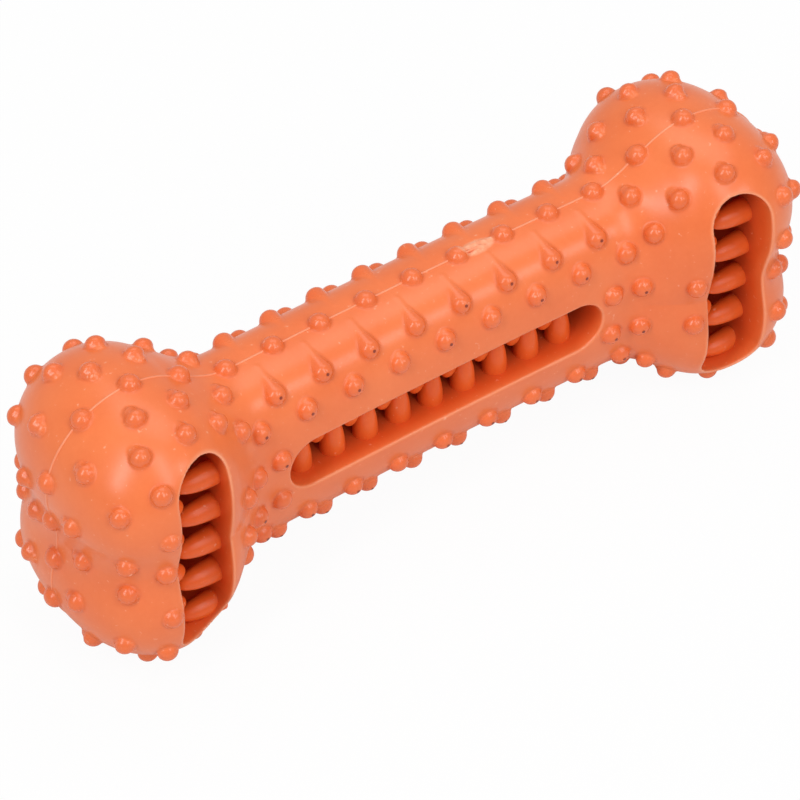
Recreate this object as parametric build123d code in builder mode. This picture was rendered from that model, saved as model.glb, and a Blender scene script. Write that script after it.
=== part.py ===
"""Rubber chew bone: an oval shaft with a two-lobed knob at each end, toothed slots and nubs.

The bone runs along X and stands on the lower lobes of its two knobs, with Z up. Its slots face
the front (-Y). The origin is on the floor, under the middle of the shaft. The mould parted in the
upright plane through the shaft's axis, so the nubs off that plane are pins drawn along Y.
"""
import os
from math import cos, floor, radians, sin

from build123d import *

os.makedirs("parts", exist_ok=True)

# Shaft and knobs, in millimetres
shaft_height = 42.5
shaft_depth = 26.5
shaft_fullness = 0.73  # 0.55 gives an elliptical outline, 1 a square one
shaft_end = 62.0  # from the middle of the bone, inside the knob
neck_x = 61.0  # centre of the collar where the shaft runs into the knob
neck_radius = 15.5
neck_depth = 20.0
lobe_x = 67.3
lobe_spread = 11.9  # lobe centre above or below the bone's axis
lobe_radius = 18.4  # seen from the front
lobe_depth = 25.4  # parting plane to the front of a lobe
lobe_fullness = 0.63
saddle_drop = 2.0  # the saddle between two lobes is smaller than them by this much
knob_start = 45.0  # the knob's pieces begin here

# Slots, cut from the front down to the parting plane
shaft_slot_length = 75.8
shaft_slot_width = 12.0
knob_slot_x = 64.4
knob_slot_length = 48.0
knob_slot_width = 14.8

# Teeth on the slot walls
shaft_tooth_pitch = 7.9
shaft_tooth_radius = 2.7
shaft_tooth_depth = 3.7  # tooth axis behind the shaft slot's lip
shaft_tip_gap = 4.0  # tooth tip to the far wall
knob_tooth_pitch = 8.8
knob_tooth_radius = 2.6
knob_tooth_depth = 4.6
knob_tip_gap = 5.8
tooth_fullness = 0.54

# Nubs
nub_radius = 2.3
nub_rise = 1.9  # how far a nub stands out of the skin
nub_tail = 5.0  # length of the pin behind a nub's head
nub_pitch = 11.0  # along the bone
end_pitch = 10.5  # across the knob's end
slot_nub_gap = 0.5  # nub edge to slot lip
neck_nub_step = 7.0  # between the pairs of nubs on the neck
neck_height = 16.0  # a wider pair, above and below the axis
rest_spread = 7.0  # outer rest nubs from the parting plane
rest_flat = 0.75  # depth of the flat on the middle rest nubs

# Rows of nubs along the bone, as angles from the parting plane: over the shaft, over the knobs
low_row = (24.8, 14.3)
high_row = (39.2, 28.2)
spine_angle = 72.0
# Rows of nubs on the knob's end, as distances in front of the parting plane
end_low_row = 7.5
end_high_row = 14.5

lobe_edge = lobe_spread + lobe_radius
mid_height = lobe_edge + nub_rise - rest_flat
nub_sink = nub_radius - nub_rise
slot_clear = lobe_depth + nub_radius
slot_end = shaft_slot_length / 2
far_away = 2 * (lobe_x + lobe_radius)  # longer than any line from inside the bone to its skin
parting = Plane(origin=(0, 0, mid_height), x_dir=(1, 0, 0), z_dir=(0, -1, 0))
sides = {"left": -1, "right": 1}


def quarter(width, height, fullness):
    """A quarter of a round outline, from (width, 0) to (0, height)."""
    return Bezier((width, 0), (width, height * fullness), (width * fullness, height), (0, height))


def crown(radius, depth):
    """A full round form, turned about a line drawn along Y."""
    with BuildPart() as form:
        with BuildSketch():
            with BuildLine():
                quarter(radius, depth, lobe_fullness)
                quarter(radius, -depth, lobe_fullness)
                Line((0, -depth), (0, depth))
            make_face()
        revolve(axis=Axis.Y)
    return form.part


# The shaft, an even oval bar
with BuildPart() as core:
    with BuildSketch(Plane(origin=(0, 0, mid_height), x_dir=(0, 1, 0), z_dir=(1, 0, 0))):
        with BuildLine():
            for depth in (-shaft_depth / 2, shaft_depth / 2):
                for height in (-shaft_height / 2, shaft_height / 2):
                    quarter(depth, height, shaft_fullness)
        make_face()
    extrude(amount=shaft_end, both=True)

# The whole moulding, before its slots are cut and it is divided into pieces
lobe = crown(lobe_radius, lobe_depth)
saddle = crown(lobe_radius - saddle_drop, lobe_depth - saddle_drop)
neck = crown(neck_radius, neck_depth)
knob_forms = [
    (form, (side * x, 0, mid_height + up))
    for side in sides.values()
    for form, x, up in (
        (lobe, lobe_x, -lobe_spread),
        (lobe, lobe_x, lobe_spread),
        (saddle, lobe_x, 0),
        (neck, neck_x, 0),
    )
]
with BuildPart() as moulding:
    add(core.part)
    for form, place in knob_forms:
        with Locations(place):
            add(form)

# Shaft: a front with its slot, and a plain back
with BuildPart() as shaft_front:
    add(moulding.part)
    split(bisect_by=parting, keep=Keep.TOP)
    split(bisect_by=Plane.YZ.offset(knob_start), keep=Keep.BOTTOM)
    split(bisect_by=Plane.YZ.offset(-knob_start), keep=Keep.TOP)
    with BuildSketch(parting):
        SlotOverall(shaft_slot_length, shaft_slot_width)
    extrude(amount=slot_clear, mode=Mode.SUBTRACT)
shaft_front.part.label = "shaft_front"
export_step(shaft_front.part, "parts/shaft_front.step")

with BuildPart() as shaft_back:
    add(moulding.part)
    split(bisect_by=parting, keep=Keep.BOTTOM)
    split(bisect_by=Plane.YZ.offset(knob_start), keep=Keep.BOTTOM)
    split(bisect_by=Plane.YZ.offset(-knob_start), keep=Keep.TOP)
shaft_back.part.label = "shaft_back"
export_step(shaft_back.part, "parts/shaft_back.step")

# Knobs, each with a slot across its front
knob_fronts = {}
for name, side in sides.items():
    outward = Keep.TOP if side > 0 else Keep.BOTTOM
    with BuildPart() as knob_front:
        add(moulding.part)
        split(bisect_by=parting, keep=Keep.TOP)
        split(bisect_by=Plane.YZ.offset(side * knob_start), keep=outward)
        with BuildSketch(parting):
            with Locations((side * knob_slot_x, 0)):
                SlotOverall(knob_slot_length, knob_slot_width, rotation=90)
        extrude(amount=slot_clear, mode=Mode.SUBTRACT)
    knob_front.part.label = f"{name}_knob_front"
    export_step(knob_front.part, f"parts/{name}_knob_front.step")
    knob_fronts[name] = knob_front.part

    with BuildPart() as knob_back:
        add(moulding.part)
        split(bisect_by=parting, keep=Keep.BOTTOM)
        split(bisect_by=Plane.YZ.offset(side * knob_start), keep=outward)
    knob_back.part.label = f"{name}_knob_back"
    export_step(knob_back.part, f"parts/{name}_knob_back.step")


def skin_point(origin, direction):
    """The last point of the skin on a line that starts inside the bone."""
    start = Vector(origin)
    way = Vector(direction)
    inside = Edge.make_line(start, start + way * far_away).intersect(moulding.part)
    return max((v.center() for v in inside.vertices()), key=lambda p: (p - start).dot(way))


def bullet(radius, length):
    """A tooth that stands on a wall at the origin and points along X."""
    with BuildPart() as form:
        with BuildSketch():
            with BuildLine():
                quarter(length, radius, tooth_fullness)
                Line((0, radius), (0, 0))
                Line((0, 0), (length, 0))
            make_face()
        revolve(axis=Axis.X)
    return form.part


def tooth_places(slot_length, radius, pitch, half_step):
    """Tooth centres along a slot wall, at whole or half steps of the pitch."""
    shift = 0.5 if half_step else 0.0
    count = floor((slot_length / 2 - 2 * radius) / pitch + shift)
    return [(k + shift) * pitch for k in range(-count, count + (0 if half_step else 1))]


# Teeth of the shaft slot: a row on each long wall, the upper row set between the lower row
shaft_tooth = bullet(shaft_tooth_radius, shaft_slot_width - shaft_tip_gap)
slot_edge = mid_height + shaft_slot_width / 2
shaft_lip = skin_point((0, 0, slot_edge), (0, -1, 0)).Y
for name, wall in {"lower": -1, "upper": 1}.items():
    with BuildPart() as shaft_teeth:
        for x in tooth_places(shaft_slot_length, shaft_tooth_radius, shaft_tooth_pitch, wall > 0):
            root = (x, shaft_lip + shaft_tooth_depth, mid_height + wall * shaft_slot_width / 2)
            with Locations(Location(root, (0, 90 * wall, 0))):
                add(shaft_tooth)
        add(shaft_front.part, mode=Mode.SUBTRACT)
    shaft_teeth.part.label = f"shaft_{name}_teeth"
    export_step(shaft_teeth.part, f"parts/shaft_{name}_teeth.step")

# Teeth of the knob slots: the right wall of each slot carries the whole steps
knob_tooth = bullet(knob_tooth_radius, knob_slot_width - knob_tip_gap)
knob_lip = skin_point((knob_slot_x, 0, mid_height), (0, -1, 0)).Y
for name, side in sides.items():
    for row, facing in {"inner": -side, "outer": side}.items():
        with BuildPart() as knob_teeth:
            for up in tooth_places(knob_slot_length, knob_tooth_radius, knob_tooth_pitch, facing < 0):
                wall_x = side * knob_slot_x + facing * knob_slot_width / 2
                root = (wall_x, knob_lip + knob_tooth_depth, mid_height + up)
                with Locations(Location(root, (0, 0, 90 + 90 * facing))):
                    add(knob_tooth)
            add(knob_fronts[name], mode=Mode.SUBTRACT)
        knob_teeth.part.label = f"{name}_knob_{row}_teeth"
        export_step(knob_teeth.part, f"parts/{name}_knob_{row}_teeth.step")


def nub_seat(origin, direction):
    """Seat of a nub: its origin is the centre of the nub's head, and its Z leaves the skin."""
    head = skin_point(origin, direction) - Vector(direction) * nub_sink
    return Plane(origin=head, z_dir=direction)


def steps(pitch, first, last, half_step):
    """Distances from the middle, at whole or half steps of a pitch, between two limits."""
    shift = 0.5 if half_step else 0.0
    places = [(k + shift) * pitch for k in range(floor(last / pitch) + 1)]
    return [place for place in places if first <= place < last]


def long_row(angle, first, last, half_step):
    """Nubs along the bone, at an angle in front of the parting plane."""
    way = (0, -sin(radians(angle)), cos(radians(angle)))
    return [nub_seat((x, 0, mid_height), way) for x in steps(nub_pitch, first, last, half_step)]


def end_row(forward, half_step):
    """Nubs across the knob's end, at a distance in front of the parting plane."""
    heights = steps(end_pitch, 0, lobe_spread + lobe_radius / 2, half_step)
    return [nub_seat((lobe_x, -forward, mid_height + up), (1, 0, 0)) for up in heights]


def facing_front(x, *heights):
    """Nubs on the front skin, at heights above the axis."""
    return [nub_seat((x, 0, mid_height + up), (0, -1, 0)) for up in heights]


def mirrored(seats, x=1, y=1, z=1):
    """Seats mirrored in the bone's middle planes."""
    return [
        Plane(
            origin=(x * s.origin.X, y * s.origin.Y, mid_height + z * (s.origin.Z - mid_height)),
            z_dir=(x * s.z_dir.X, y * s.z_dir.Y, z * s.z_dir.Z),
        )
        for s in seats
    ]


def above_and_below(seats):
    """Seats of the upper half and, off the axis, of the lower half."""
    return seats + mirrored([s for s in seats if s.origin.Z > mid_height + nub_sink], z=-1)


def both_ends(seats):
    """Seats of the right half and, off the middle, of the left half."""
    return seats + mirrored([s for s in seats if s.origin.X > nub_sink], x=-1)


# Where the nubs stand: rows of the shaft, of a knob and of the parting line
knob_end = lobe_x + lobe_radius * 0.55
flank_x = knob_slot_x + knob_slot_width / 2 + nub_radius + slot_nub_gap
inner_x = knob_slot_x - knob_slot_width / 2 - nub_radius - slot_nub_gap
end_half = end_pitch / 2

shaft_rows = long_row(low_row[0], 0, knob_start, True) + long_row(high_row[0], 0, knob_start, False)
for steps_in in (1, 2):
    shaft_rows += facing_front(inner_x - steps_in * neck_nub_step, end_half)
shaft_rows = both_ends(above_and_below(shaft_rows))

knob_rows = long_row(low_row[1], knob_start, knob_end, True)
knob_rows += long_row(high_row[1], knob_start, knob_end, False)
knob_rows += end_row(end_low_row, False) + end_row(end_high_row, True)
knob_rows += facing_front(flank_x, 0, end_pitch, 2 * end_pitch)
knob_rows += facing_front(inner_x, end_half) + facing_front(inner_x - neck_nub_step / 2, neck_height)
knob_rows = above_and_below(knob_rows)

seam_row = above_and_below(both_ends(long_row(0, 0, knob_end, False) + end_row(0, True)))

# The bone's back has no slots, so its rows close up there
spine_rows = both_ends(above_and_below(long_row(spine_angle, 0, slot_end, True)))
saddle_rows = above_and_below(facing_front(knob_slot_x, 0, 2 * end_pitch))

# One nub of the shaft: a round head towards the front, on a pin
with BuildPart() as nub_pin:
    with BuildSketch():
        with BuildLine():
            Line((0, -nub_radius), (0, nub_tail))
            Line((0, nub_tail), (nub_radius, nub_tail))
            Line((nub_radius, nub_tail), (nub_radius, 0))
            CenterArc((0, 0), nub_radius, 0, -90)
        make_face()
    revolve(axis=Axis.Y)

with BuildPart() as shaft_front_nubs:
    with Locations(*[s.origin for s in shaft_rows]):
        add(nub_pin.part)
    add(core.part, mode=Mode.SUBTRACT)
shaft_front_nubs.part.label = "shaft_front_nubs"
export_step(shaft_front_nubs.part, "parts/shaft_front_nubs.step")

back_turn = (0, 0, 180)
with BuildPart() as shaft_back_nubs:
    with Locations(*[Location(s.origin, back_turn) for s in mirrored(shaft_rows + spine_rows, y=-1)]):
        add(nub_pin.part)
    add(core.part, mode=Mode.SUBTRACT)
shaft_back_nubs.part.label = "shaft_back_nubs"
export_step(shaft_back_nubs.part, "parts/shaft_back_nubs.step")

# Nubs of the knobs, cut to sit on the core and the lobes
for name, side in sides.items():
    front_seats = mirrored(knob_rows, x=side)
    back_seats = mirrored(knob_rows + saddle_rows, x=side, y=-1)
    for face, seats in {"front": front_seats, "back": back_seats}.items():
        with BuildPart() as knob_nubs:
            with Locations(*seats):
                Sphere(nub_radius)
            add(core.part, mode=Mode.SUBTRACT)
            for form, place in knob_forms:
                if place[0] * side > 0:
                    with Locations(place):
                        add(form, mode=Mode.SUBTRACT)
        knob_nubs.part.label = f"{name}_knob_{face}_nubs"
        export_step(knob_nubs.part, f"parts/{name}_knob_{face}_nubs.step")

# Nubs along the parting line, apart from those that meet the floor
with BuildPart() as seam_nubs:
    with Locations(*[s for s in seam_row if s.origin.Z > nub_radius]):
        Sphere(nub_radius)
    add(core.part, mode=Mode.SUBTRACT)
    for form, place in knob_forms:
        with Locations(place):
            add(form, mode=Mode.SUBTRACT)
seam_nubs.part.label = "seam_nubs"
export_step(seam_nubs.part, "parts/seam_nubs.step")

# Nubs that the bone stands on, flat where they meet the floor
rest_middle = [s for s in seam_row if s.origin.Z <= nub_radius]
rest_outer = [
    nub_seat((s.origin.X, y, mid_height), (0, 0, -1))
    for s in rest_middle
    for y in (-rest_spread, rest_spread)
]
with BuildPart() as rest_nubs:
    with Locations(*rest_middle, *rest_outer):
        Sphere(nub_radius)
    for form, place in knob_forms:
        with Locations(place):
            add(form, mode=Mode.SUBTRACT)
    split(bisect_by=Plane.XY, keep=Keep.TOP)
rest_nubs.part.label = "rest_nubs"
export_step(rest_nubs.part, "parts/rest_nubs.step")
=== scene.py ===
# %% [markdown]
# # A rubber chew toy, dressed over its CAD frame
# The toy is a bone moulded in one shot of orange natural rubber. The packed CAD model has its exact sizes,
# cut into halves, teeth and nubs. This lesson loads that model as a fixed frame and grows one soft skin over
# it, so the nubs melt into the bone as they do in a mould. The CAD nodes stay in the scene, hidden.

# %% Load the frame
import math

import bpy
import numpy as np
import openvdb
from mathutils import Matrix, Vector


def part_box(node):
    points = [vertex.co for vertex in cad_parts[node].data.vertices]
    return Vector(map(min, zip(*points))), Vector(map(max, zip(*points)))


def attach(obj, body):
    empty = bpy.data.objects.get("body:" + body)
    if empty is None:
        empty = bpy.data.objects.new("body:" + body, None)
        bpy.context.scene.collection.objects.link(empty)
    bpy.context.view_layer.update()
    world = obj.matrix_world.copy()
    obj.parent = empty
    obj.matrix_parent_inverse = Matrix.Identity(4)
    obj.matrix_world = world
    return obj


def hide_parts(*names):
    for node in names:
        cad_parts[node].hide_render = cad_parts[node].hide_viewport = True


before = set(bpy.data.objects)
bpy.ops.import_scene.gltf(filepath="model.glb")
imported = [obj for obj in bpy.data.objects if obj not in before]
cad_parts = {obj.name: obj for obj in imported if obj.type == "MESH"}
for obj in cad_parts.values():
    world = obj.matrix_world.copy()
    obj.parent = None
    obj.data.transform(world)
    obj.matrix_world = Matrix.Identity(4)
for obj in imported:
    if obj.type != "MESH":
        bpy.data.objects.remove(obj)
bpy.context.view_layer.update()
MM = 0.001


# %% [markdown]
# ## The bone as a distance field
# A moulded bone has no hard joints: the shaft swells into the knobs, and each knob is two rounded lobes with
# a soft valley between them. It could be made by joining the CAD meshes and rounding every crease by hand.
# A distance field is simpler here: each form is a formula that says how far a point is from its surface,
# and two forms are joined with a soft minimum, which fills the crease like a fillet. All lengths are in mm,
# with the bone's axis at height 0.

# %% Main measures
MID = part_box("shaft_back")[0].z / MM / 2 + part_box("shaft_back")[1].z / MM / 2
SHAFT_HIGH, SHAFT_DEEP, SHAFT_END, SHAFT_POWER = 21.25, 13.25, 62.0, 2.7
LOBE_X, LOBE_SPREAD, LOBE_R, LOBE_POWER = 67.3, 11.9, 18.4, 2.4
LOBE_FRONT, LOBE_BACK = 23.6, 24.4
BOW = 1.0
SADDLE_DROP = 2.0
NECK_X, NECK_R, NECK_DEEP = 62.0, 15.5, 19.5
print("axis height in mm:", round(MID, 3))

# %% Soft joins
def join_softly(a, b, soft):
    """Union of two fields. Creases are filled over a width of soft."""
    overlap = np.maximum(soft - np.abs(a - b), 0) / soft
    return np.minimum(a, b) - overlap * overlap * soft / 4


def cut_softly(a, tool, soft):
    """Field a with the tool taken away. Edges are rounded over a width of soft."""
    return -join_softly(-a, tool, soft)


print("a crease with a softness of 1 mm is filled by", -join_softly(0.0, 0.0, 1.0), "mm")

# %% Round forms
LEAST = 1e-3


def oval_field(a, b, half_a, half_b, power):
    """Field of a full oval: a and b are distances along its two half axes."""
    a, b = np.abs(a) / half_a, np.abs(b) / half_b
    reach = np.maximum((a**power + b**power) ** (1 / power), LEAST)
    steep = np.sqrt((a ** (power - 1) / half_a) ** 2 + (b ** (power - 1) / half_b) ** 2)
    return (reach - 1) / np.maximum(steep * reach ** (1 - power), LEAST)


def crown_field(x, y, z, at_x, at_z, radius, front, back):
    """A full round form, turned about a line along y, with its own depth to the front and back."""
    across = np.sqrt((np.abs(x) - at_x) ** 2 + (np.abs(z) - at_z) ** 2)
    return oval_field(across, y, radius, np.where(y < 0, front, back), LOBE_POWER)


beside_lobe = crown_field(LOBE_X + LOBE_R + 1, 0, LOBE_SPREAD, LOBE_X, LOBE_SPREAD, LOBE_R, LOBE_FRONT, LOBE_BACK)
print("field 1 mm outside a lobe:", round(float(beside_lobe), 3))

# %% The bare bone
LOBE_SOFT, NECK_SOFT = 2.4, 8.0
SOFT_FROM, SOFT_TO = 62.0, 54.0


def bow(x):
    """How far the bone bends towards its front, least at the middle and most at the knobs."""
    return BOW * (x / LOBE_X) ** 2


def bone_field(x, y, z):
    """The whole moulding without nubs and slots."""
    y = y + bow(x)
    lobes = crown_field(x, y, z, LOBE_X, LOBE_SPREAD, LOBE_R, LOBE_FRONT, LOBE_BACK)
    saddle = crown_field(x, y, z, LOBE_X, 0, LOBE_R - SADDLE_DROP, LOBE_FRONT - SADDLE_DROP, LOBE_BACK - SADDLE_DROP)
    shaft = np.maximum(oval_field(z, y, SHAFT_HIGH, SHAFT_DEEP, SHAFT_POWER), np.abs(x) - SHAFT_END)
    neck = join_softly(shaft, crown_field(x, y, z, NECK_X, 0, NECK_R, NECK_DEEP, NECK_DEEP), NECK_SOFT)
    near_shaft = np.clip((SOFT_FROM - np.abs(x)) / (SOFT_FROM - SOFT_TO), 0, 1)
    soft = LOBE_SOFT + (NECK_SOFT - LOBE_SOFT) * near_shaft * near_shaft * (3 - 2 * near_shaft)
    return join_softly(join_softly(neck, saddle, LOBE_SOFT), lobes, soft)


print("field on top of the shaft:", round(float(bone_field(0.0, 0.0, SHAFT_HIGH)), 3))

# %% Moving points onto the skin
SLOPE_STEP = 0.02
SKIN_ROUNDS = 4


def outward(p):
    """Unit vectors away from the bone at points p, from small steps in the field."""
    slopes = []
    for axis in np.eye(3) * SLOPE_STEP:
        ahead, behind = p + axis, p - axis
        slopes.append(bone_field(*ahead.T) - bone_field(*behind.T))
    n = np.stack(slopes, -1)
    return n / np.linalg.norm(n, axis=-1, keepdims=True)


def onto_skin(p):
    """Points p moved straight onto the bare bone."""
    for _ in range(SKIN_ROUNDS):
        p = p - bone_field(*p.T)[:, None] * outward(p)
    return p


print("front of the shaft:", onto_skin(np.array([[0.0, -20.0, 0.0]])).round(2))

# %% [markdown]
# ## Where the nubs stand
# The real nubs are dimples in the mould. Their places could be typed in again, but the frame already holds
# them: every loose island of a nub node is one nub, and the middle of its cap, moved onto the bare bone, is
# its seat. On the knobs the seats are eased by a few mm: the rows close up over the crown, and the front ones
# make room for the slot's lip.

# %% Read the loose nubs from the frame
def island_numbers(node):
    """Points of a CAD node in mm, and the number of the loose island that each is on."""
    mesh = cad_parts[node].data
    raw = np.empty(len(mesh.vertices) * 3)
    mesh.vertices.foreach_get("co", raw)
    raw = raw.reshape(-1, 3) / MM
    edges = np.empty(len(mesh.edges) * 2, np.int64)
    mesh.edges.foreach_get("vertices", edges)
    points, welded = np.unique(raw.round(3), axis=0, return_inverse=True)
    edges = welded.reshape(-1)[edges].reshape(-1, 2)
    number = np.arange(len(points))
    while True:
        lowest = np.minimum(number[edges[:, 0]], number[edges[:, 1]])
        new = number.copy()
        np.minimum.at(new, edges[:, 0], lowest)
        np.minimum.at(new, edges[:, 1], lowest)
        new = new[new]
        if (new == number).all():
            return points - (0, 0, MID), number
        number = new


print("loose nubs under the lobes:", len(np.unique(island_numbers("rest_nubs")[1])))

# %% The slots' outlines
def stadium(u, v, half_u, half_v, corner):
    """Field of a rectangle with round corners."""
    a, b = np.abs(u) - (half_u - corner), np.abs(v) - (half_v - corner)
    return np.sqrt(np.maximum(a, 0) ** 2 + np.maximum(b, 0) ** 2) + np.minimum(np.maximum(a, b), 0) - corner


SHAFT_SLOT = (75.8 / 2, 12.0 / 2)
KNOB_SLOT_X, KNOB_SLOT_SHIFT, KNOB_SLOT = 64.4, 0.9, (13.0 / 2, 48.0 / 2)
print("slots in mm:", SHAFT_SLOT, KNOB_SLOT)

# %% Ease the seats on the knobs
NUB_R = 2.25
CLOSING, CLOSE_FROM, CLOSE_ASIDE = 0.011, 52.0, 19.0
KNOB_FROM, NECK_TO, UPPER_FROM = 48.0, KNOB_SLOT_X - KNOB_SLOT[0] + 2, 6.0
FRONT_DEPTH, FRONT_SHIFT, NECK_SHIFT = 20.0, 2.2, 1.6
LEFT_LIFT, RIGHT_DROP = 0.7, 1.6


def ease_knob(caps):
    """Caps on the knobs, with rows closed up over the crown and shifted clear of the slot at the front."""
    along, aside = np.abs(caps[:, 0]), np.abs(caps[:, 1])
    closer = CLOSING * aside * (along - CLOSE_FROM) * ((along > CLOSE_FROM) & (aside < CLOSE_ASIDE))
    caps[:, 0] -= closer * np.sign(caps[:, 0])
    forward = np.clip(-caps[:, 1] / FRONT_DEPTH, 0, 1) ** 2 * (along > KNOB_FROM)
    on_left, on_neck, upper = caps[:, 0] < 0, along < NECK_TO, caps[:, 2] > UPPER_FROM
    caps[:, 0] += forward * (FRONT_SHIFT + NECK_SHIFT * (on_neck & ~on_left))
    caps[:, 2] += forward * np.where(on_left, LEFT_LIFT, -RIGHT_DROP * upper)
    past_slot = np.abs(caps[:, 0] - KNOB_SLOT_SHIFT) - KNOB_SLOT_X
    to_slot = stadium(past_slot, caps[:, 2], *KNOB_SLOT, KNOB_SLOT[0])
    crowd = np.clip(NUB_R - to_slot, 0, 2 * NUB_R) * (caps[:, 1] < 0)
    caps[:, 0] += crowd * np.sign(past_slot) * np.sign(caps[:, 0])
    return caps


print("front nubs of the knobs move by up to", FRONT_SHIFT + NECK_SHIFT, "mm, plus room for the slot")

# %% Seat every nub
CAP_DEPTH = 0.15


def nub_seats(node):
    """One seat on the bare bone for each loose nub of a CAD node."""
    points, number = island_numbers(node)
    lift = bone_field(*points.T)
    caps = []
    for one in np.unique(number):
        own = number == one
        top = own & (lift > lift[own].max() - CAP_DEPTH)
        caps.append(points[top].mean(0))
    caps = ease_knob(np.array(caps))
    caps[:, 1] -= bow(caps[:, 0])
    return onto_skin(caps)


def knob_seats(side):
    """Seats on one side of both knobs."""
    return np.vstack([nub_seats(f"{end}_knob_{side}_nubs") for end in ("left", "right")])


shaft_nubs = {side: nub_seats(f"shaft_{side}_nubs") for side in ("front", "back")}
knob_nubs = {side: knob_seats(side) for side in ("front", "back")}
seam_nubs, rest_nubs = nub_seats("seam_nubs"), nub_seats("rest_nubs")
for side in ("front", "back"):
    print(side, "nubs on the shaft:", len(shaft_nubs[side]), "and on the knobs:", len(knob_nubs[side]))
print("nubs on the parting line:", len(seam_nubs), "and to rest on:", len(rest_nubs))

# %% [markdown]
# ## One skin, sampled on a fine grid
# The field is sampled every 0.35 mm, slab by slab, and each nub is joined to it only in the small block of
# the grid around it, so a few hundred nubs cost little. A nub of the shaft is a pin drawn along the mould's
# pull, so its tail runs back towards the parting line and it looks like a teardrop. Nubs of the knobs have
# short tails.

# %% Sample the bone
CELL = 0.35
PAD = 3
SLABS = 16
node_boxes = np.array([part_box(node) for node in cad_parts])
low = node_boxes[:, 0].min(0) / MM - (0, 0, MID)
high = node_boxes[:, 1].max(0) / MM - (0, 0, MID)
counts = np.ceil((high - low) / CELL).astype(int) + 2 * PAD + 1
axes = [low[i] + CELL * (np.arange(counts[i]) - PAD) for i in range(3)]
gx, gy, gz = axes[0][:, None, None], axes[1][None, :, None], axes[2][None, None, :]
field = np.concatenate([bone_field(part, gy, gz).astype(np.float32) for part in np.array_split(gx, SLABS)])
print("grid:", field.shape)

# %% A small block of the grid
def block(corner_a, corner_b, margin):
    """Slices of the grid, and its coordinates, around a small form."""
    lo = np.minimum(corner_a, corner_b) - margin
    hi = np.maximum(corner_a, corner_b) + margin
    cut = []
    for i, axis in enumerate(axes):
        first, last = int((lo[i] - axis[0]) / CELL), int((hi[i] - axis[0]) / CELL) + 2
        cut.append(slice(max(first, 0), max(last, 0)))
    x, y, z = (axis[part] for axis, part in zip(axes, cut))
    return tuple(cut), x[:, None, None], y[None, :, None], z[None, None, :]


def pin_field(x, y, z, head, tail, head_r, tail_r):
    """A rod with round ends that gets thinner towards its tail."""
    run = tail - head
    dx, dy, dz = x - head[0], y - head[1], z - head[2]
    along = np.clip((dx * run[0] + dy * run[1] + dz * run[2]) / max(run @ run, 1e-9), 0, 1)
    gap = np.sqrt((dx - along * run[0]) ** 2 + (dy - along * run[1]) ** 2 + (dz - along * run[2]) ** 2)
    return gap - (head_r + (tail_r - head_r) * along)


print("cells round one nub:", [part.stop - part.start for part in block(seam_nubs[0], seam_nubs[0], NUB_R)[0]])

# %% Add the nubs
NUB_SINK, NUB_SOFT, NUB_MARGIN = 0.25, 0.3, 1.5
TAIL_RUN, TAIL_RISE, TAIL_R = 6.0, 2.2, 0.8
KNOB_TAIL, KNOB_TAIL_R = 1.2, 1.6
PULLS = {"front": 1, "back": -1}


def add_nubs(seats, run, rise, tail_r):
    """Nubs on the grid. A tail runs back along the mould's pull and leans towards the parting line."""
    heads = seats - NUB_SINK * outward(seats)
    heads[:, 1] = np.maximum(heads[:, 1], low[1] + NUB_R)
    for head in heads:
        tail = head + (0, run, rise * np.sign(head[2]))
        cut, x, y, z = block(head, tail, NUB_R + NUB_MARGIN)
        field[cut] = join_softly(field[cut], pin_field(x, y, z, head, tail, NUB_R, tail_r), NUB_SOFT)
    return heads


shaft_heads = {}
for side, pull in PULLS.items():
    shaft_heads[side] = add_nubs(shaft_nubs[side], pull * TAIL_RUN, TAIL_RISE, TAIL_R)
for side, pull in PULLS.items():
    add_nubs(knob_nubs[side], pull * KNOB_TAIL, 0, KNOB_TAIL_R)
for seats in (seam_nubs, rest_nubs):
    add_nubs(seats, 0, 0, NUB_R)
for grid_axis, least, most in zip((gx, gy, gz), low, high):
    field = np.maximum(field, np.maximum(least - grid_axis, grid_axis - most).astype(np.float32))
print("nub tips end flat at the floor and at the CAD box")

# %% [markdown]
# ## The gate mark
# Rubber was let into the mould through a gate on top of the shaft, and the sprue was torn off there. What is
# left is a small rough scar on the parting line, with a pit. It could be a bump in the material, but it shows
# against the light, so a handful of seeded lumps makes it.

# %% Tear the gate mark
SEED = 11
rng = np.random.default_rng(SEED)
GATE_X, GATE_LONG, GATE_WIDE, GATE_LUMPS = 15.6, 3.6, 1.3, 46
GATE_TAPER, GATE_SOFT, GATE_MARGIN = 1.2, 0.25, 1.0
THREAD_SPREAD, THREAD_R, LUMP_R = (0.9, 0.5, 0.25), 0.3, (0.3, 0.5)
for _ in range(GATE_LUMPS):
    along, aside = GATE_LONG * rng.uniform(-1, 1), GATE_WIDE * rng.uniform(-1, 1)
    guess = (GATE_X + along, aside * (GATE_TAPER - abs(along) / GATE_LONG), SHAFT_HIGH)
    at = onto_skin(np.array([guess]))[0]
    thread = at + rng.uniform(-1, 1, 3) * THREAD_SPREAD
    size = rng.uniform(*LUMP_R)
    cut, x, y, z = block(at, thread, size + GATE_MARGIN)
    field[cut] = join_softly(field[cut], pin_field(x, y, z, at, thread, size, THREAD_R), GATE_SOFT)
print("gate mark at x =", GATE_X)

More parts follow.
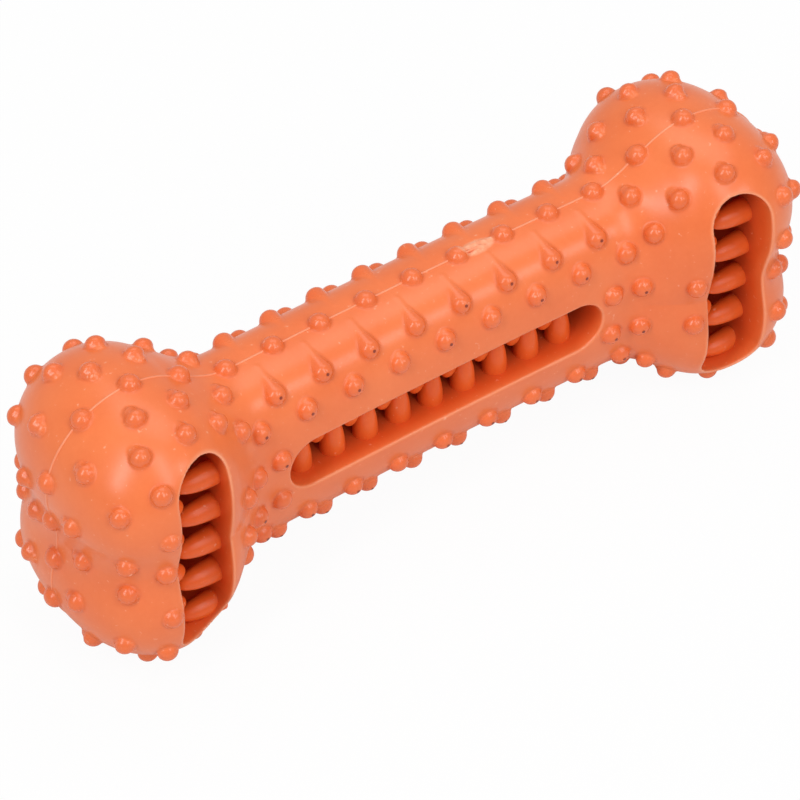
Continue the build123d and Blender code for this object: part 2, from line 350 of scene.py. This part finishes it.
# %% Dig its pit
PIT_AT, PIT_UP, PIT_MARGIN = (GATE_X - 1.2, -0.1, SHAFT_HIGH), 0.5, 3.0
PIT_LEFT, PIT_RIGHT, PIT_LEFT_R, PIT_RIGHT_R = 0.6, 0.4, 0.9, 0.7
pit = onto_skin(np.array([PIT_AT]))[0] + (0, 0, PIT_UP)
cut, x, y, z = block(pit, pit, PIT_MARGIN)
hole = pin_field(x, y, z, pit - (PIT_LEFT, 0, 0), pit + (PIT_RIGHT, 0, 0), PIT_LEFT_R, PIT_RIGHT_R)
field[cut] = cut_softly(field[cut], hole, GATE_SOFT)
print("pit at", pit.round(2))

# %% [markdown]
# ## The slots
# The front has a long slot in the shaft and an upright one in each knob. Their walls are straight, their lips
# are thin and barely rounded, and the floor meets the walls in a soft corner. A boolean would leave a hard
# edge all round, so they are cut from the field, where each edge has its own softness.

# %% Cut the slots
LIP_SOFT, FLOOR_SOFT = 0.55, 2.5
shaft_mouth = stadium(gx, gz, *SHAFT_SLOT, SHAFT_SLOT[1])
knob_mouth = stadium(np.abs(gx - KNOB_SLOT_SHIFT) - KNOB_SLOT_X, gz, *KNOB_SLOT, KNOB_SLOT[0])
slots = -join_softly(-np.minimum(shaft_mouth, knob_mouth), -gy, FLOOR_SOFT)
field = cut_softly(field, slots, LIP_SOFT).astype(np.float32)
print("slots cut, deepest at y = 0")

# %% [markdown]
# ## From grid to mesh
# OpenVDB, which comes with Blender, turns the grid into quads. Each point is then nudged onto the exact
# surface, and the field's own slope becomes its normal, so the skin shades smoothly. The field's curvature
# is kept too: the hollow creases round the nubs get painted shade later, and the sharp lips a painted highlight.

# %% Mesh the field
FAR_OUT = 9.0
volume = openvdb.FloatGrid(FAR_OUT)
volume.copyFromArray(field)
points, quads = volume.convertToQuads(0.0)
print("raw quads:", len(quads))

# %% Nudge the points onto the surface
NUDGES, FLATTEST = 3, 1e-6


def sample(grid, at):
    """Values of a grid between its points."""
    base = np.clip(np.floor(at).astype(int), 0, np.array(grid.shape) - 2)
    f = at - base
    total = 0
    for corner in np.ndindex(2, 2, 2):
        weight = np.prod([f[:, i] if corner[i] else 1 - f[:, i] for i in range(3)], axis=0)
        total = total + weight * grid[tuple((base + corner).T)]
    return total


slopes = np.gradient(field)
for _ in range(NUDGES):
    gradient = np.stack([sample(s, points) for s in slopes], -1)
    points = points - (sample(field, points) / np.maximum((gradient**2).sum(-1), FLATTEST))[:, None] * gradient
normals = gradient / np.linalg.norm(gradient, axis=-1, keepdims=True)
bend = sum(np.gradient(slopes[i], axis=i) for i in range(3)) / CELL**2
curvature = sample(bend, points)
print("skin points:", len(points), "curvature:", np.percentile(curvature, (1, 50, 99)).round(2))

# %% Two helpers for pieces
def skin_mesh(name, co, faces):
    """A smooth mesh from points in mm and faces that all have the same number of sides."""
    mesh = bpy.data.meshes.new(name)
    mesh.vertices.add(len(co))
    mesh.vertices.foreach_set("co", (co * MM).ravel())
    mesh.loops.add(faces.size)
    mesh.loops.foreach_set("vertex_index", faces.ravel().astype(np.int32))
    mesh.polygons.add(len(faces))
    mesh.polygons.foreach_set("loop_start", np.arange(0, faces.size, faces.shape[1], dtype=np.int32))
    mesh.polygons.foreach_set("use_smooth", np.ones(len(faces), bool))
    mesh.update(calc_edges=True)
    return mesh


def place(name, mesh, *materials):
    """An object for a mesh, linked to the scene."""
    piece = bpy.data.objects.new(name, mesh)
    bpy.context.scene.collection.objects.link(piece)
    for material in materials:
        mesh.materials.append(material)
    return piece


# %% Build the skin
skin_points = points * CELL + np.array([a[0] for a in axes])
a, b, c = (skin_points[quads[:, i]] for i in range(3))
if (np.cross(b - a, c - a) * normals[quads[:, 0]]).sum() < 0:
    quads = quads[:, ::-1]
rubber_mesh = skin_mesh("rubber_skin", skin_points + (0, 0, MID), quads)
rubber_mesh.normals_split_custom_set_from_vertices(normals)
rubber_skin = place("rubber_skin", rubber_mesh)
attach(rubber_skin, "root")
body_nodes = [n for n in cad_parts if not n.endswith("teeth")]
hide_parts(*body_nodes)
print("skin replaces", len(body_nodes), "nodes")

# %% Masks for the material
# Each starts at its first value and grows to 1 over its width.
CREASE_FROM, CREASE_WIDTH = 0.25, 1.6
LIP_FROM, LIP_WIDTH, LIP_NEAR = 0.9, 1.4, 1.0
INSIDE_FROM, INSIDE_WIDTH = 0.3, 10
NUB_FROM, NUB_WIDTH = 0.2, 0.8
SCAR_EDGE, SCAR_REACH, SCAR_STEEP = 0.5, 1.2, 3
depth_in = -bone_field(*skin_points.T)
scar_x = (skin_points[:, 0] - GATE_X) / (GATE_LONG + SCAR_EDGE)
scar_y = skin_points[:, 1] / (GATE_WIDE + SCAR_EDGE)
# The crease mask paints shade into hollows, the lip mask paints a highlight on thin lips, and the inside mask paints
# bounced light and shade into the slots.
masks = {
    "crease_shade": (-curvature - CREASE_FROM) / CREASE_WIDTH,
    "lip_highlight": (curvature - LIP_FROM) / LIP_WIDTH * (np.abs(depth_in) < LIP_NEAR),
    "inside": (depth_in - INSIDE_FROM) / INSIDE_WIDTH,
    "nub": (-depth_in - NUB_FROM) / NUB_WIDTH,
    "scar": (SCAR_REACH - scar_x**2 - scar_y**2) * SCAR_STEEP * (skin_points[:, 2] > 0),
}
for name, values in masks.items():
    values = np.clip(values, 0, 1).astype(np.float32)
    rubber_mesh.attributes.new(name, "FLOAT", "POINT").data.foreach_set("value", values)
    print(name, "covers", round(100 * float((values > 0.5).mean()), 1), "% of the skin's points")

# %% [markdown]
# ## Parting line
# The two halves of the mould met in the upright plane through the bone, and a hair of rubber was squeezed out
# between them. It is a fine bead that runs from nub to nub all round the bone. A cut through the mesh would
# give a ragged line, so the bead follows points that are guessed by formula and moved onto the bare skin.

# %% Find the parting line
STRAIGHT_POINTS, TURN_POINTS, TURN_FROM, TURN_TO = 80, 120, 150, -40
LEAST_STEP = 0.15
turns = np.radians(np.linspace(TURN_FROM, TURN_TO, TURN_POINTS))
along = np.linspace(0, LOBE_X - LOBE_R, STRAIGHT_POINTS)
quarter = np.vstack([
    np.stack([along, 0 * along, np.full(STRAIGHT_POINTS, SHAFT_HIGH)], -1),
    np.stack([LOBE_X + LOBE_R * np.cos(turns), 0 * turns, LOBE_SPREAD + LOBE_R * np.sin(turns)], -1),
])
quarter = quarter[quarter[:, 2] > 0]
quarter[:, 1] -= bow(quarter[:, 0])
quarter = onto_skin(quarter)
half = np.vstack([quarter, quarter[::-1] * (1, 1, -1)])
loop = np.vstack([half, half[::-1] * (-1, 1, 1)])
apart = np.linalg.norm(loop - np.roll(loop, 1, axis=0), axis=1) > LEAST_STEP
loop = loop[apart]
print("parting line points:", len(loop))

# %% Lay a bead along it
BEAD_R, BEAD_SINK, BEAD_SIDES = 0.28, 0.1, 8
lift = outward(loop)
loop = loop - BEAD_SINK * lift
ring = np.radians(np.arange(BEAD_SIDES) * 360 / BEAD_SIDES)
ring_out = np.cos(ring)[None, :, None] * lift[:, None] + np.sin(ring)[None, :, None] * np.array((0, 1, 0))
bead = loop[:, None] + BEAD_R * ring_out
index = np.arange(len(loop) * BEAD_SIDES).reshape(len(loop), BEAD_SIDES)
after, beside = np.roll(index, -1, axis=0), np.roll(index, -1, axis=1)
bead_faces = np.stack([index, after, np.roll(after, -1, axis=1), beside], -1).reshape(-1, 4)
parting_line = place("parting_line", skin_mesh("parting_line", bead.reshape(-1, 3) + (0, 0, MID), bead_faces))
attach(parting_line, "root")
print("bead faces:", len(bead_faces))

# %% [markdown]
# ## Vent pits
# Air left the mould through a fine hole in many of the shaft's nub dimples, and each hole leaves a tiny pit
# near the tip of its nub, which shows as a dark speck of shade. A pit is too fine for the grid and a spot in the
# material would need a place for every nub, so they are tiny dark discs of painted shade, laid on the nub a
# little towards the mould's pull. Which nubs have one is a seeded choice.

# %% Lay painted shade on the vent pits
VENT_R, VENT_SIDES, VENT_SHARE, VENT_LIFT = 0.34, 12, 0.75, 0.03
front_heads = shaft_heads["front"]
tilt = outward(front_heads) + np.array((0, -1, 0))
tilt = tilt / np.linalg.norm(tilt, axis=1, keepdims=True)
chosen = rng.random(len(front_heads)) < VENT_SHARE
vent_points, vent_faces = [], []
spokes = np.radians(np.arange(VENT_SIDES) * 360 / VENT_SIDES)[:, None]
for head, way in zip(front_heads[chosen], tilt[chosen]):
    across = np.cross(way, (1, 0, 0))
    across = across / np.linalg.norm(across)
    third = np.cross(way, across)
    rim = head + way * (NUB_R + VENT_LIFT) + VENT_R * (np.cos(spokes) * across + np.sin(spokes) * third)
    first = len(vent_points) * VENT_SIDES
    vent_points.append(rim)
    vent_faces.append(np.arange(first, first + VENT_SIDES))
vent_pit_shades = place("vent_pit_shades", skin_mesh("vent_pit_shades", np.vstack(vent_points) + (0, 0, MID), np.array(vent_faces)))
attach(vent_pit_shades, "root")
print("vent marks:", len(vent_faces))

# %% [markdown]
# ## Shader maths
# Materials are easier to read as sums than as a web of nodes. A small class wraps a socket, and + - * on it
# add Math nodes. Every other node comes from one method: its type, its settings, then its sockets.

# %% A socket that can do sums
class Flow:
    def __init__(self, tree, socket=None):
        self.tree, self.socket = tree, socket

    def node(self, kind, settings=None, sockets=None, out=0):
        made = self.tree.nodes.new(kind)
        for key, value in (settings or {}).items():
            setattr(made, key, value)
        for key, value in (sockets or {}).items():
            if isinstance(value, Flow):
                self.tree.links.new(value.socket, made.inputs[key])
            else:
                made.inputs[key].default_value = value
        return Flow(self.tree, made.outputs[out])

    def math(self, operation, *values):
        return self.node("ShaderNodeMath", {"operation": operation}, dict(enumerate(values)))

    def __add__(self, other): return self.math("ADD", self, other)
    def __radd__(self, other): return self.math("ADD", other, self)
    def __sub__(self, other): return self.math("SUBTRACT", self, other)
    def __rsub__(self, other): return self.math("SUBTRACT", other, self)
    def __mul__(self, other): return self.math("MULTIPLY", self, other)
    def __rmul__(self, other): return self.math("MULTIPLY", other, self)

    def tint(self, colour_a, colour_b):
        """colour_a where this mask is 0, colour_b where it is 1."""
        return self.node("ShaderNodeMix", {"data_type": "RGBA"}, {0: self, 6: colour_a, 7: colour_b}, out=2)


print("sums:", [name for name in vars(Flow) if name.startswith("__r")])

# %% Colours and new materials
def linear(r, g, b):
    """An sRGB colour, as read from a picture, in the linear values that sockets use."""
    return tuple(((v / 255 + 0.055) / 1.055) ** 2.4 if v > 10 else v / 255 / 12.92 for v in (r, g, b)) + (1.0,)


def new_material(name):
    """A material, a Flow to start from in its tree, and its shader node."""
    material = bpy.data.materials.new(name)
    material.use_nodes = True
    tree = material.node_tree
    return material, Flow(tree), tree.nodes["Principled BSDF"]


print("a mid orange in linear values:", [round(v, 3) for v in linear(241, 125, 69)])

# %% [markdown]
# ## Rubber
# The rubber is a soft orange, a little mottled where pigment and powder settled. It is redder on the nubs,
# paler on the torn gate, and has sparse specks of dust. Light and shade are painted in as well: painted shade in
# the hollow round each nub and deeper inside the slots, a painted orange bounce on the slots' walls, and a
# painted highlight on thin lips. Its surface is a fine matt grain with a low sheen, and the rubbed nubs shine a
# little more. One flat colour would look like plastic, so three noises at different sizes drive the colour,
# roughness and grain, and the masks on the skin's points say where each colour goes.

# %% The shades
NUB_ORANGE, NUB_TINT = linear(228, 98, 48), 0.4
# Painted highlight: thin lips are tinted pale where light glints on their rounded edge.
LIP_HIGHLIGHT_TINT = 0.6
# Painted light in the slots: a painted orange bounce on the walls, and painted shade that deepens towards the floor.
WALL_BOUNCE_ORANGE, WALL_BOUNCE_TINT, WALL_STEEP = linear(240, 94, 32), 0.75, 4
DEPTH_SHADE_BROWN, DEPTH_SHADE_TINT = linear(170, 54, 12), 0.75
SCAR_PALE, SCAR_TINT = linear(252, 196, 160), 0.9
# Painted shade in the hollow round each nub.
CREASE_SHADE_RED, CREASE_SHADE_TINT = linear(196, 72, 28), 0.4
DUST_PALE, DUST_TINT, DUST_RANGE = linear(255, 214, 186), 0.3, (0.68, 0.76)
GRAIN_HIGH = 0.0001
print("grain height in mm:", GRAIN_HIGH / MM)

# %% The rubber
def rubber(name, body, deep, lip_highlight_colour, grain, shine=0.5):
    material, start, shader = new_material(name)
    where = start.node("ShaderNodeTexCoord", out=3)

    def noise(scale, detail, roughness):
        sockets = {"Vector": where, "Scale": scale, "Detail": detail, "Roughness": roughness}
        return start.node("ShaderNodeTexNoise", None, sockets)

    def mask(attribute):
        return start.node("ShaderNodeAttribute", {"attribute_name": attribute}, out=2)

    def between(value, least, most):
        return start.node("ShaderNodeMapRange", None, {"Value": value, "From Min": least, "From Max": most})

    clouds = noise(scale=45.0, detail=4.0, roughness=0.55)
    specks = noise(scale=900.0, detail=2.0, roughness=0.6)
    pores = noise(scale=2600.0, detail=3.0, roughness=0.6)
    crease_shade, lip_highlight, inside, nub, scar = (mask(attribute) for attribute in ("crease_shade", "lip_highlight", "inside", "nub", "scar"))
    dust = between(specks, *DUST_RANGE)
    wall = start.math("MINIMUM", inside * WALL_STEEP, 1)
    colour = between(clouds * 0.8 + specks * 0.2, 0.3, 0.7).tint(deep, body)
    colour = (nub * NUB_TINT).tint(colour, NUB_ORANGE)
    # painted highlight on thin lips
    colour = (lip_highlight * LIP_HIGHLIGHT_TINT).tint(colour, lip_highlight_colour)
    # painted orange bounce on the slots' walls
    colour = (wall * WALL_BOUNCE_TINT).tint(colour, WALL_BOUNCE_ORANGE)
    # painted shade deeper inside the slots
    colour = (inside * DEPTH_SHADE_TINT).tint(colour, DEPTH_SHADE_BROWN)
    colour = (scar * specks * SCAR_TINT).tint(colour, SCAR_PALE)
    # painted shade in the hollows round the nubs
    colour = (crease_shade * CREASE_SHADE_TINT).tint(colour, CREASE_SHADE_RED)
    colour = (dust * DUST_TINT).tint(colour, DUST_PALE)
    rough = 0.25 + pores * 0.1 + crease_shade * 0.15 + inside * 0.35 + scar * 0.2 - nub * 0.07 + dust * 0.1
    height = pores * 0.6 + specks * 0.4
    bump = start.node("ShaderNodeBump", None, {"Height": height, "Strength": grain, "Distance": GRAIN_HIGH})
    for flow, socket in ((colour, "Base Color"), (rough, "Roughness"), (bump, "Normal")):
        material.node_tree.links.new(flow.socket, shader.inputs[socket])
    shader.inputs["Specular IOR Level"].default_value = shine
    print(name, len(material.node_tree.nodes), "nodes")
    return material


# %% Rubber for the skin, bead and vents
# The vent discs' brown is painted shade of the pits.
PALE_ORANGE, VENT_PIT_SHADE_BROWN = linear(250, 168, 128), linear(150, 56, 26)
# The third colour of each rubber is the painted highlight on thin lips.
skin_rubber = rubber("skin_rubber", linear(241, 125, 69), linear(232, 111, 56), linear(252, 180, 140), grain=0.12)
bead_rubber = rubber("bead_rubber", linear(247, 150, 108), linear(242, 136, 92), PALE_ORANGE, grain=0.2)
vent_shade_rubber = rubber("vent_shade_rubber", VENT_PIT_SHADE_BROWN, linear(130, 46, 22), VENT_PIT_SHADE_BROWN, grain=0.2)
rubber_mesh.materials.append(skin_rubber)
parting_line.data.materials.append(bead_rubber)
vent_pit_shades.data.materials.append(vent_shade_rubber)

# %% [markdown]
# ## Teeth
# Each slot has two rows of bullet teeth, one row set between the other, and they stand well below the lip.
# They could be joined to the skin's field, but the grid is too coarse for their narrow gaps. A tooth is a
# short outline turned about its axis, so one function makes a whole row. Each tooth starts a little inside
# its wall, as it does in the one-piece moulding.

# %% Turn a row of teeth
TOOTH_RINGS, TOOTH_SIDES, TOOTH_ROOT = 14, 28, 1.2
TOOTH_FULLNESS, TIP_R = 0.9, 0.01
# The teeth's rubber is a deeper, browner copy of the skin's orange: painted shade for teeth that stand down in the
# slots.
tooth_rubber = rubber("tooth_rubber", linear(246, 112, 48), linear(230, 94, 34), PALE_ORANGE, grain=0.3, shine=0.3)


def tooth_row(name, roots, points_to, radius, length, replaced):
    """Bullet teeth on a slot wall: roots are places on the wall, points_to is the way they stand."""
    way = np.array(points_to, float)
    out_, up_ = np.array((0, -1.0, 0)), np.cross(way, (0, -1.0, 0))
    share = np.sin(np.linspace(0, np.pi / 2, TOOTH_RINGS))
    along = np.concatenate([[-TOOTH_ROOT], share * length])
    wide = np.concatenate([[radius], radius * np.cos(np.arcsin(share)) ** TOOTH_FULLNESS])
    turn_ = np.radians(np.arange(TOOTH_SIDES) * 360 / TOOTH_SIDES)
    circle = np.cos(turn_)[:, None] * out_ + np.sin(turn_)[:, None] * up_
    one = along[:, None, None] * way + np.maximum(wide, TIP_R)[:, None, None] * circle[None]
    index = np.arange(one.shape[0] * TOOTH_SIDES).reshape(-1, TOOTH_SIDES)
    ahead = np.roll(index, -1, axis=1)
    faces = np.stack([index[:-1], ahead[:-1], ahead[1:], index[1:]], -1).reshape(-1, 4)
    count = one.shape[0] * TOOTH_SIDES
    co = np.vstack([one.reshape(-1, 3) + root for root in roots])
    all_faces = np.vstack([faces + k * count for k in range(len(roots))])
    row = place(name, skin_mesh(name, co + (0, 0, MID), all_faces), tooth_rubber)
    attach(row, "root")
    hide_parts(replaced)
    print(name, len(roots), "teeth")


# %% Teeth of the shaft
SHAFT_PITCH, SHAFT_TOOTH_R, SHAFT_TOOTH_L, SHAFT_TOOTH_Y = 7.9, 2.6, 8.0, -7.0
whole_steps, half_steps = np.arange(-4, 5), np.arange(-4, 4) + 0.5
for row, wall, steps in (("lower", -1, whole_steps), ("upper", 1, half_steps)):
    roots = [(k * SHAFT_PITCH, SHAFT_TOOTH_Y, wall * SHAFT_SLOT[1]) for k in steps]
    tooth_row(f"shaft_{row}_row", roots, (0, 0, -wall), SHAFT_TOOTH_R, SHAFT_TOOTH_L, f"shaft_{row}_teeth")

# %% Teeth of the knobs, which are longer and half a step lower on the walls to the right
KNOB_PITCH, KNOB_TOOTH_R, KNOB_TOOTH_Y = 8.9, 2.6, -15.0
KNOB_TOOTH_L = {-1: 6.0, 1: 8.6}
KNOB_STEPS = {-1: np.arange(-2, 3), 1: np.arange(-3, 2) + 0.5}
for end, sign in (("left", -1), ("right", 1)):
    for wall in (-1, 1):
        name = f"{end}_knob_" + ("outer" if wall == sign else "inner")
        wall_x = sign * KNOB_SLOT_X + KNOB_SLOT_SHIFT + wall * KNOB_SLOT[0]
        roots = [(wall_x, KNOB_TOOTH_Y, k * KNOB_PITCH) for k in KNOB_STEPS[wall]]
        tooth_row(name + "_row", roots, (-wall, 0, 0), KNOB_TOOTH_R, KNOB_TOOTH_L[wall], name + "_teeth")

# %% [markdown]
# ## Floor, light and camera
# The bone was shot on plain white with soft boxes: a wide one overhead, two upright strips either side of
# the camera, which leave a pair of short highlights on every nub, and a small one whose sheen lies along the
# shaft's shoulder. A picture of a studio as the world would do the same, but lamps are easier to move. The
# floor is white to the camera and keeps a faint shadow.

# %% Camera
IMAGE = 800
FOCAL_PX = 4464.8
SENSOR = 36.0
FAR_CLIP = 100
middle = Vector((0, 0, MID * MM))
eye = middle + Vector((-0.3783, -0.5086, 0.6186))
look, up = Vector((0.42143, 0.56986, -0.70545)), Vector((0.40352, 0.57882, 0.70862))
right = look.cross(up).normalized()
up = right.cross(look)
camera = bpy.data.objects.new("camera", bpy.data.cameras.new("camera"))
camera.data.sensor_width = SENSOR
camera.data.lens = FOCAL_PX * SENSOR / IMAGE
camera.data.clip_end = FAR_CLIP
turn = Matrix((right, up, -look)).transposed()
camera.matrix_world = Matrix.Translation(eye) @ turn.to_4x4()
bpy.context.scene.collection.objects.link(camera)
bpy.context.scene.camera = camera
print("lens in mm:", round(camera.data.lens, 1))

# %% Lights
def softbox(name, direction, distance, width, height, watts):
    """A soft box that faces the bone, in metres and watts."""
    lamp = bpy.data.lights.new(name, "AREA")
    lamp.shape, lamp.size, lamp.size_y, lamp.energy = "RECTANGLE", width, height, watts
    made = bpy.data.objects.new(name, lamp)
    made.location = middle + Vector(direction).normalized() * distance
    made.rotation_euler = (middle - made.location).to_track_quat("-Z", "Y").to_euler()
    bpy.context.scene.collection.objects.link(made)
    print(name, "of", watts, "W")


softbox("overhead_box", direction=(0.25, 0.25, 0.95), distance=1.3, width=1.2, height=0.7, watts=4.4)
softbox("shoulder_box", direction=(0.42, -0.68, 0.545), distance=1.6, width=0.3, height=0.45, watts=2.6)
STRIP_TURN, STRIP_LIFT = math.radians(25), 0.15
for name, sideways, watts in (("left_strip", -1, 10.5), ("right_strip", 1, 7.0)):
    toward = -look * math.cos(STRIP_TURN) + right * sideways * math.sin(STRIP_TURN) + up * STRIP_LIFT
    softbox(name, direction=toward, distance=1.6, width=0.32, height=1.4, watts=watts)

# %% World
FILL, GLOSS_SHARE = 0.4, 0.35
world = bpy.data.worlds.new("studio")
bpy.context.scene.world = world
world.use_nodes = True
air = Flow(world.node_tree)
by_camera, by_gloss = (air.node("ShaderNodeLightPath", out=out) for out in (0, 3))
seen = air.math("MAXIMUM", by_camera, by_gloss * GLOSS_SHARE)
background = world.node_tree.nodes["Background"]
background.inputs["Color"].default_value = (1, 1, 1, 1)
world.node_tree.links.new((FILL + seen * (1 - FILL)).socket, background.inputs["Strength"])
print("world fill:", FILL)

# %% Floor
FLOOR_REACH, FLOOR_DROP = 12.0, 0.0002
FLOOR_GREY, FLOOR_ROUGH, FLOOR_GLOW = 0.8, 0.9, 0.95
corners = [(x * FLOOR_REACH, y * FLOOR_REACH, 0) for x, y in ((-1, -1), (1, -1), (1, 1), (-1, 1))]
floor_mesh = bpy.data.meshes.new("floor")
floor_mesh.from_pydata(corners, [], [(0, 1, 2, 3)])
floor_paint, start, shader = new_material("floor_paint")
shader.inputs["Base Color"].default_value = (FLOOR_GREY, FLOOR_GREY, FLOOR_GREY, 1)
shader.inputs["Roughness"].default_value = FLOOR_ROUGH
by_camera = start.node("ShaderNodeLightPath", out=0)
glow = start.node("ShaderNodeEmission", None, {"Color": (1, 1, 1, 1), "Strength": 1.0})
paint = Flow(floor_paint.node_tree, shader.outputs[0])
mixed = start.node("ShaderNodeMixShader", None, {0: by_camera * FLOOR_GLOW, 1: paint, 2: glow})
floor_paint.node_tree.links.new(mixed.socket, floor_paint.node_tree.nodes["Material Output"].inputs["Surface"])
floor = place("floor", floor_mesh, floor_paint)
floor.location.z = -FLOOR_DROP
bpy.context.scene.view_settings.view_transform = "Standard"
print("floor", 2 * FLOOR_REACH, "m wide")
